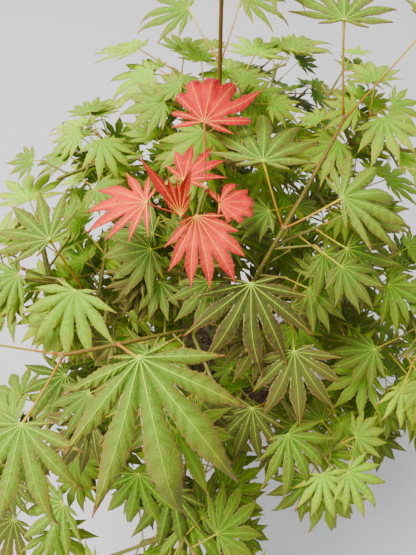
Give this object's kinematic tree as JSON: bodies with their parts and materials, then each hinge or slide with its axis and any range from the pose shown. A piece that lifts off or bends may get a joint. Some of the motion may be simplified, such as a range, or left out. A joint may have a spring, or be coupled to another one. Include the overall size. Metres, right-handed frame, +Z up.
{
  "type": "potted maple",
  "caption": "Young potted maple with a leaning trunk, rising boughs and tiers of many-lobed leaves, some newly grown and red.",
  "frame": {"origin": "middle of the pot's flat underside, on the surface that it stands on", "axes": "+Z up through the plant, -Y towards the side that the picture was taken from, +X to that view's right"},
  "size_m": [0.5156, 0.5338, 0.683],
  "materials": {
    "pot_plastic": "satin black moulded plastic",
    "potting_mix": "crumbly brown potting mix of bark and peat",
    "bark": "smooth olive-brown young bark with pale pores",
    "leaf_green": "thin mid green leaf with pale veins",
    "leaf_light": "thin fresh light green leaf with pale veins",
    "leaf_bronze": "olive-green leaf with bronze margins and red tips",
    "leaf_coral": "new coral-red leaf with pale veins"
  },
  "bodies": {
    "root": {"pot": "pot_plastic", "compost": "potting_mix", "trunk": "bark", "bough_leader": "bark", "bough_coral": "bark", "bough_right_top": "bark", "bough_left_front": "bark", "bough_left": "bark", "bough_left_low": "bark", "bough_front_low": "bark", "bough_front_right": "bark", "bough_right": "bark", "bough_right_back": "bark", "bough_back": "bark", "bough_left_back": "bark", "bough_back_low": "bark", "bough_right_low": "bark", "bough_left_lower": "bark", "leaves_leader": "leaf_green", "leaves_coral": "leaf_coral", "leaves_right_top": "leaf_bronze", "leaves_left_front": "leaf_bronze", "leaves_left": "leaf_green", "leaves_left_low": "leaf_green", "leaves_front_low": "leaf_light", "leaves_front_right": "leaf_light", "leaves_right": "leaf_light", "leaves_right_back": "leaf_green", "leaves_back": "leaf_green", "leaves_left_back": "leaf_light", "leaves_back_low": "leaf_green", "leaves_right_low": "leaf_green", "leaves_left_lower": "leaf_green"}
  },
  "joints": []
}
